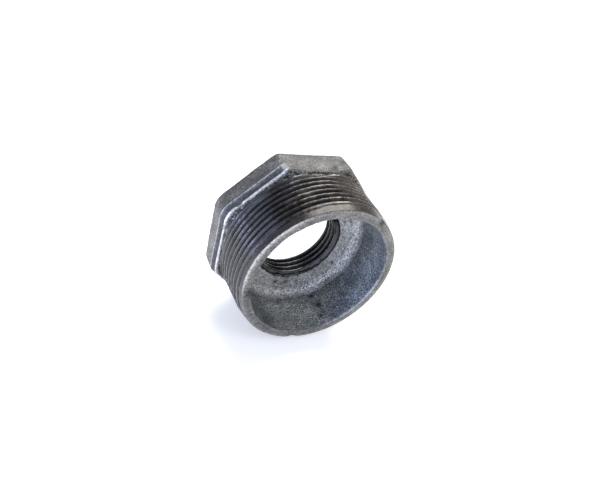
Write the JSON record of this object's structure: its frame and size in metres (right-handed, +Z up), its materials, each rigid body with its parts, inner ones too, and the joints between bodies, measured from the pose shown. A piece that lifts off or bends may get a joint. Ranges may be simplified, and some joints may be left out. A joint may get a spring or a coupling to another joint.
{
  "type": "threaded reducing bush",
  "caption": "Galvanised malleable-iron reducing bush: octagonal wrench head, external taper pipe thread, smaller internal pipe thread and a cored recess.",
  "frame": {"origin": "on the bore axis, halfway between the head's end face and the rim of the threaded end", "axes": "+Y along the bore towards the head, +Z up out of one head flat; the fitting lies on the opposite flat"},
  "size_m": [0.0616, 0.0308, 0.0616],
  "materials": {
    "galvanised_iron": "hot-dip galvanised as-cast zinc, with bare oily machined threads"
  },
  "bodies": {
    "root": {"bush_casting": "galvanised_iron"}
  },
  "joints": []
}
